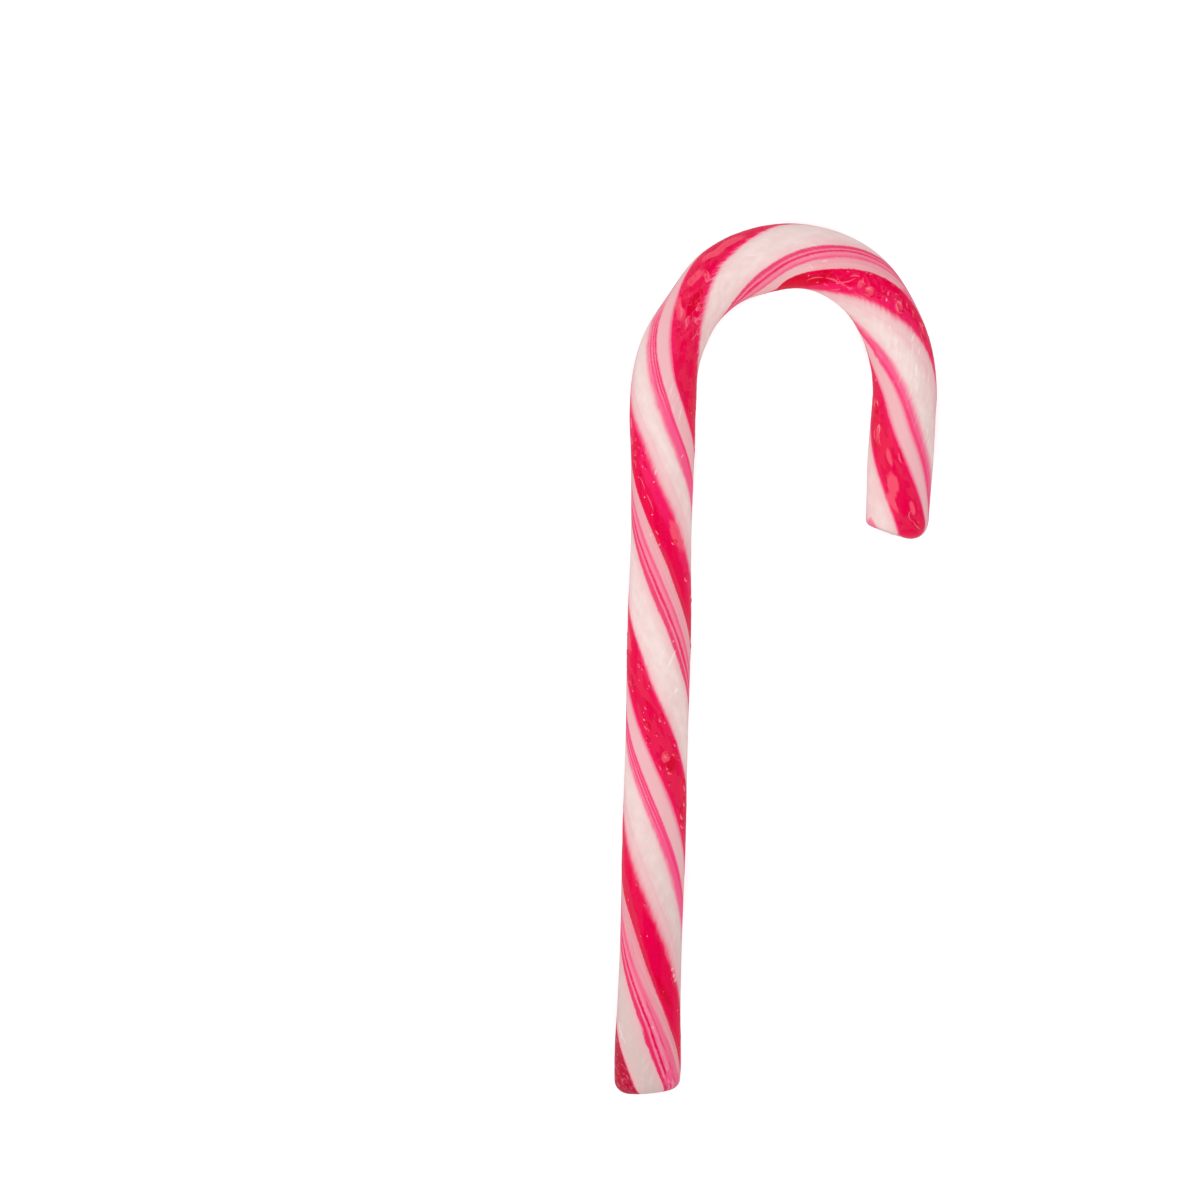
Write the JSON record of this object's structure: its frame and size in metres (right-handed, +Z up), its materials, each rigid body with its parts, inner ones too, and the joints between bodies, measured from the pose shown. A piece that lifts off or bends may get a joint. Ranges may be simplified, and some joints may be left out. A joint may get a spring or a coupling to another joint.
{
  "type": "candy cane",
  "caption": "Round striped sugar stick bent into a crook at one end, lying flat on its side; a sweet that also hooks over a branch, string or glass rim",
  "frame": {"origin": "centre of the bottom of the bounding box, on the surface the cane lies on", "axes": "+Y along the shaft from its foot to the crook, +X from the shaft to the leg of the crook, +Z up, away from the surface it lies on"},
  "size_m": [0.0528, 0.1506, 0.0112],
  "materials": {
    "candy": "glossy hard sugar, red ribbons wound on warm white"
  },
  "bodies": {
    "root": {"cane": "candy"}
  },
  "joints": []
}
